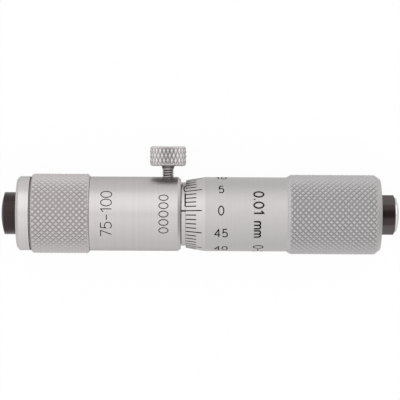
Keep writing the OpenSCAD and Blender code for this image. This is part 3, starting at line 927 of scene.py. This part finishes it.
knob_pitch = (knob_top - knob_bottom) / knob_knurls_along
knob_rows = np.linspace(knob_bottom, knob_top, knob_knurls_along * cuts_per_knob_knurl + 1)
from_edge = np.minimum(knob_rows - knob_bottom, knob_top - knob_rows)
knob_blank = knob_r - np.maximum(0, knob_chamfer - from_edge)[:, None]
knob_knurl_r = knurl(
    knob_rows - knob_bottom, knob_columns, knob_pitch, knob_knurls_round, knob_r, knob_knurl_depth,
    knob_blunt, first_angle=0.0,
)
knob_knurl_r = np.minimum(knob_knurl_r, knob_blank)


def screw_thread(along, columns, outer, depth, pitch, steepness=1.5, crest=0.4):
    """Radius of a right-handed V thread: a triangle wave of the distance along the axis in pitches plus
    the share of a turn, made steeper and cut off at the crest's and the root's flats."""
    turn = np.linspace(0, 1, columns, endpoint=False)
    phase = (along / pitch)[:, None] + turn[None, :]
    wave = 2 * np.abs(phase - np.round(phase))
    return outer - depth * np.clip(steepness * wave - crest, 0, 1)


thread_rows = np.linspace(thread_start, collar_bottom - fine_edge, thread_row_count)
thread_share = np.minimum(thread_rows - thread_rows[0], thread_rows[-1] - thread_rows) / thread_run_out
thread_cut = screw_r - screw_thread(thread_rows, knob_columns, screw_r, thread_depth, screw_pitch)
thread_cut = np.clip(thread_share, 0, 1)[:, None] * thread_cut
screw_foot = rounded([
    (screw_bottom, 0.0),
    (screw_bottom, screw_r - screw_chamfer),
    (screw_bottom + screw_chamfer, screw_r),
    (foot_end, screw_r),
], fine_edge, closed=False)
knob_under = rounded([
    (collar_bottom, screw_r),
    (knob_bottom, collar_r),
    (knob_bottom, knob_r - knob_chamfer - fine_edge),
], fine_edge, closed=False)
knob_face = np.array([
    (knob_top, knob_r - knob_chamfer - fine_edge),
    (knob_top, knob_r - 2 * knob_chamfer),
    (knob_top, collar_r),
    (knob_top, 0.0),
])
foot_r = np.repeat(screw_foot[:, 1:], knob_columns, axis=1)
under_r = np.repeat(knob_under[:, 1:], knob_columns, axis=1)
face_r = np.repeat(knob_face[:, 1:], knob_columns, axis=1)
clamp_screw = turned(
    "clamp_screw_turning",
    np.concatenate([screw_foot[:, 0], thread_rows, knob_under[:, 0], knob_rows, knob_face[:, 0]]),
    np.vstack([foot_r, screw_r - thread_cut, under_r, knob_knurl_r, face_r]),
    knob_columns,
    closed=False,
    hollow=np.vstack([
        np.zeros_like(foot_r),
        thread_cut / thread_depth,
        np.zeros_like(under_r),
        ((knob_blank - knob_knurl_r) / knob_knurl_depth) ** hollow_power,
        np.zeros_like(face_r),
    ]),
    axis=clamp_axis,
    top=measuring_axis,
    through=clamp_through,
)
screw_place = {"axis": tuple(clamp_axis), "through": tuple(clamp_through)}
# Painted shade in the roots of the thread and, below, in the hollows of the knob's knurl.
thread_steel = turned_metal("thread_steel", (0.55, 0.525, 0.52), 0.36, hollow_shade=0.3, **screw_place)
# Painted shade on the collar under the knob, near black.
collar_shade = turned_metal("collar_shade", (0.15, 0.14, 0.137), 0.4, **screw_place)
# Painted shade on the knob's underside, which also darkens its reflection in the barrel.
underside_shade = turned_metal("underside_shade", (0.45, 0.432, 0.427), 0.4, **screw_place)
knob_chrome = turned_metal("knob_chrome", (0.71, 0.685, 0.68), 0.4, hollow_shade=0.4, **screw_place)
in_bands(
    clamp_screw, [collar_bottom - fine_edge, knob_bottom - fine_edge, knob_bottom + 2 * fine_edge],
    [thread_steel, collar_shade, underside_shade, knob_chrome], clamp_axis, clamp_through,
)
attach(clamp_screw, "clamp_knob")
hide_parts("clamp_screw")


# Clamp pad: a plug of turned brass under the screw, which presses it on to the spindle. It is hidden
# in the barrel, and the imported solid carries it.

pad_brass = turned_metal("pad_brass", (0.62, 0.46, 0.17), 0.3, **screw_place)
for material_slot in frame["nodes"]["clamp_pad"].material_slots:
    material_slot.material = pad_brass


# Table, light and camera: a white table in a tent of soft studio light, seen square to the measuring
# axis from the side on which the clamp screw points up in the picture.

floor_z = cad_low.z
floor_half = 3.0
floor_white = 0.85
floor_glow = 0.96
light_level = 0.92
glow_gain = 0.61
glow_power = 2.4
glow_direction = (0.0, 0.883, 0.469)
fill_gain = 0.09
fill_power = 6.0
fill_direction = (0.0, -0.70, 0.714)
end_fall = -0.5
end_lean = -0.13
end_power = 3.0
towards_camera = np.cross(measuring_axis, clamp_axis)
opening_lean = math.tan(math.radians(5.0))
opening_rim = math.cos(math.radians(2.0))
opening_core = math.cos(math.radians(1.4))
opening_level = 0.1
shade_rim = math.cos(math.radians(13.0))
shade_core = math.cos(math.radians(5.0))
shade_level = 0.75


def white_table(name):
    """White table that shows as white behind the object and still takes part of its shadow: rays from the
    camera, from mirrors and through glass see a share of plain white and the rest as lit."""
    material, surface, node, link = shader(name)
    surface.inputs["Base Color"].default_value = (floor_white, floor_white, floor_white, 1)
    surface.inputs["Roughness"].default_value = 0.9
    surface.inputs["Specular IOR Level"].default_value = 0.0
    path = node("ShaderNodeLightPath")
    mirrored = node("ShaderNodeMath", operation="MAXIMUM")
    link(path.outputs["Is Glossy Ray"], mirrored.inputs[0])
    link(path.outputs["Is Transmission Ray"], mirrored.inputs[1])
    seen = node("ShaderNodeMath", operation="MAXIMUM")
    link(path.outputs["Is Camera Ray"], seen.inputs[0])
    link(mirrored.outputs[0], seen.inputs[1])
    share = node("ShaderNodeMath", {1: floor_glow}, operation="MULTIPLY")
    link(seen.outputs[0], share.inputs[0])
    white = node("ShaderNodeEmission", {"Color": (1, 1, 1, 1), "Strength": 1.0})
    both = node("ShaderNodeMixShader")
    link(share.outputs[0], both.inputs["Fac"])
    link(surface.outputs[0], both.inputs[1])
    link(white.outputs[0], both.inputs[2])
    output = material.node_tree.nodes["Material Output"]
    link(both.outputs[0], output.inputs["Surface"])
    return material


table_mesh = bpy.data.meshes.new("table")
table_mesh.from_pydata([
    (-floor_half, -floor_half, floor_z), (floor_half, -floor_half, floor_z),
    (floor_half, floor_half, floor_z), (-floor_half, floor_half, floor_z),
], [], [(0, 1, 2, 3)])
table = bpy.data.objects.new("table", table_mesh)
bpy.context.scene.collection.objects.link(table)
table.data.materials.append(white_table("table_white"))


def studio_light(name):
    """Light from all round: a plain level plus a gain times a power of (1 + cosine) / 2, for the cosine to
    a broad glow in front, and the same for a weak fill behind. It falls towards both ends of the
    measuring axis with a power of the direction's X, more to the right, is shaded round the camera,
    and has a small dark opening beside it."""
    world = bpy.data.worlds.new(name)
    world.use_nodes = True
    node, link = node_bench(world.node_tree)
    place = node("ShaderNodeTexCoord")

    def cosine_to(direction):
        """Cosine of the angle to a direction."""
        cosine = node("ShaderNodeVectorMath", {1: direction}, operation="DOT_PRODUCT")
        link(place.outputs["Generated"], cosine.inputs[0])
        return cosine.outputs["Value"]

    def lobe(direction, power):
        """(1 + cosine) / 2 to a power."""
        half = node("ShaderNodeMath", {1: 0.5, 2: 0.5}, operation="MULTIPLY_ADD")
        link(cosine_to(direction), half.inputs[0])
        raised = node("ShaderNodeMath", {1: power}, operation="POWER")
        link(half.outputs[0], raised.inputs[0])
        return raised.outputs[0]

    def spot(direction, rim, core, core_level):
        """1 outside a rim round a direction and another level inside its core. Both are given as cosines."""
        toned = node("ShaderNodeMapRange", {
            "From Min": rim, "From Max": core, "To Min": 1.0, "To Max": core_level,
        })
        link(cosine_to(direction), toned.inputs["Value"])
        return toned.outputs["Result"]

    def times(first, second):
        """First value times second."""
        product = node("ShaderNodeMath", operation="MULTIPLY")
        link(first, product.inputs[0])
        link(second, product.inputs[1])
        return product.outputs[0]

    glow = node("ShaderNodeMath", {1: glow_gain, 2: light_level}, operation="MULTIPLY_ADD")
    link(lobe(glow_direction, glow_power), glow.inputs[0])
    level = node("ShaderNodeMath", {1: fill_gain}, operation="MULTIPLY_ADD")
    link(lobe(fill_direction, fill_power), level.inputs[0])
    link(glow.outputs[0], level.inputs[2])

    parts = node("ShaderNodeSeparateXYZ")
    link(place.outputs["Generated"], parts.inputs[0])
    endwise = node("ShaderNodeMath", operation="ABSOLUTE")
    link(parts.outputs["X"], endwise.inputs[0])
    fall = node("ShaderNodeMath", {1: end_power}, operation="POWER")
    link(endwise.outputs[0], fall.inputs[0])
    side = node("ShaderNodeMath", operation="SIGN")
    link(parts.outputs["X"], side.inputs[0])
    share = node("ShaderNodeMath", {1: end_lean, 2: end_fall}, operation="MULTIPLY_ADD")
    link(side.outputs[0], share.inputs[0])
    ends = node("ShaderNodeMath", {2: 1.0}, operation="MULTIPLY_ADD")
    link(fall.outputs[0], ends.inputs[0])
    link(share.outputs[0], ends.inputs[1])

    opening = towards_camera + opening_lean * measuring_axis
    shut = spot(opening / np.linalg.norm(opening), opening_rim, opening_core, opening_level)
    shaded = spot(towards_camera, shade_rim, shade_core, shade_level)
    strength = times(times(times(level.outputs[0], ends.outputs[0]), shaded), shut)
    background = world.node_tree.nodes["Background"]
    link(strength, background.inputs["Strength"])
    background.inputs["Color"].default_value = (1, 1, 1, 1)
    return world


bpy.context.scene.world = studio_light("studio")

camera_distance = 400 * mm
frame_width = 75.58 * mm
sensor = 36.0
aim_x = 37.43 * mm
aim_rise = 2.65 * mm
roll = math.radians(0.28)
camera_right = math.cos(roll) * measuring_axis + math.sin(roll) * clamp_axis
camera_up = math.cos(roll) * clamp_axis - math.sin(roll) * measuring_axis
camera_place = aim_x * measuring_axis + aim_rise * clamp_axis + camera_distance * towards_camera
camera_data = bpy.data.cameras.new("camera")
camera_data.sensor_width = sensor
camera_data.lens = sensor * camera_distance / frame_width
camera = bpy.data.objects.new("camera", camera_data)
camera.matrix_world = Matrix((
    (camera_right[0], camera_up[0], towards_camera[0], camera_place[0]),
    (camera_right[1], camera_up[1], towards_camera[1], camera_place[1]),
    (camera_right[2], camera_up[2], towards_camera[2], camera_place[2]),
    (0, 0, 0, 1),
))
bpy.context.scene.collection.objects.link(camera)
bpy.context.scene.camera = camera
bpy.context.scene.view_settings.view_transform = "Standard"
